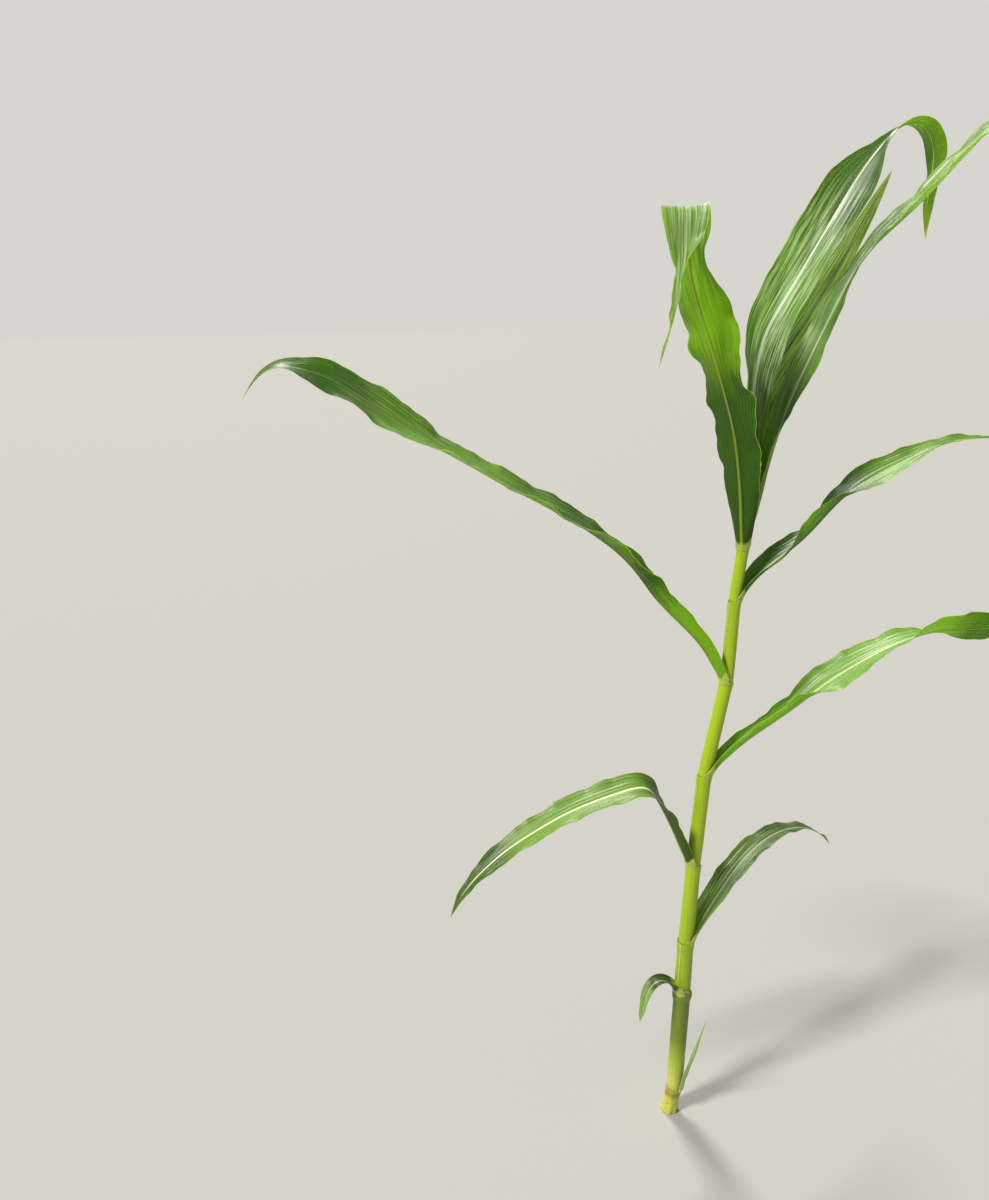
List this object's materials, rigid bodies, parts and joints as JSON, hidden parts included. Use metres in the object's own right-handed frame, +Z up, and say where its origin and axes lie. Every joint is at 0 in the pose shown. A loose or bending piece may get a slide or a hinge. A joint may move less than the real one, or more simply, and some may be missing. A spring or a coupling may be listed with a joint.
{
  "type": "maize plant",
  "caption": "Rooted maize plant before tasselling: a jointed, leaning stalk in rolled sheaths, with long arching leaves in two ranks and an open whorl at its top.",
  "frame": {"origin": "middle of the flat cut under the stalk, at ground level", "axes": "+Z up, +X to the right as the plant is seen in the picture, +Y away from the viewer"},
  "size_m": [1.3129, 0.3448, 1.6705],
  "materials": {
    "stalk": "smooth, slightly waxy",
    "sheath": "finely ribbed, satin",
    "blade": "parallel-veined, glossy above and duller below"
  },
  "bodies": {
    "root": {"leaf_01": "blade", "leaf_02": "blade", "leaf_03_fall": "blade", "leaf_03_rise": "blade", "leaf_04_fall": "blade", "leaf_04_rise": "blade", "leaf_05_fall": "blade", "leaf_05_rise": "blade", "leaf_06_fall": "blade", "leaf_06_rise": "blade", "leaf_07_fall": "blade", "leaf_07_rise": "blade", "leaf_08_fall": "blade", "leaf_08_rise": "blade", "leaf_09_fall": "blade", "leaf_09_rise": "blade", "leaf_10_fall": "blade", "leaf_10_rise": "blade", "leaf_11": "blade", "sheath_02": "sheath", "sheath_03": "sheath", "sheath_04": "sheath", "sheath_05": "sheath", "sheath_06": "sheath", "sheath_07": "sheath", "sheath_08": "sheath", "sheath_09": "sheath", "stalk": "stalk"}
  },
  "joints": []
}
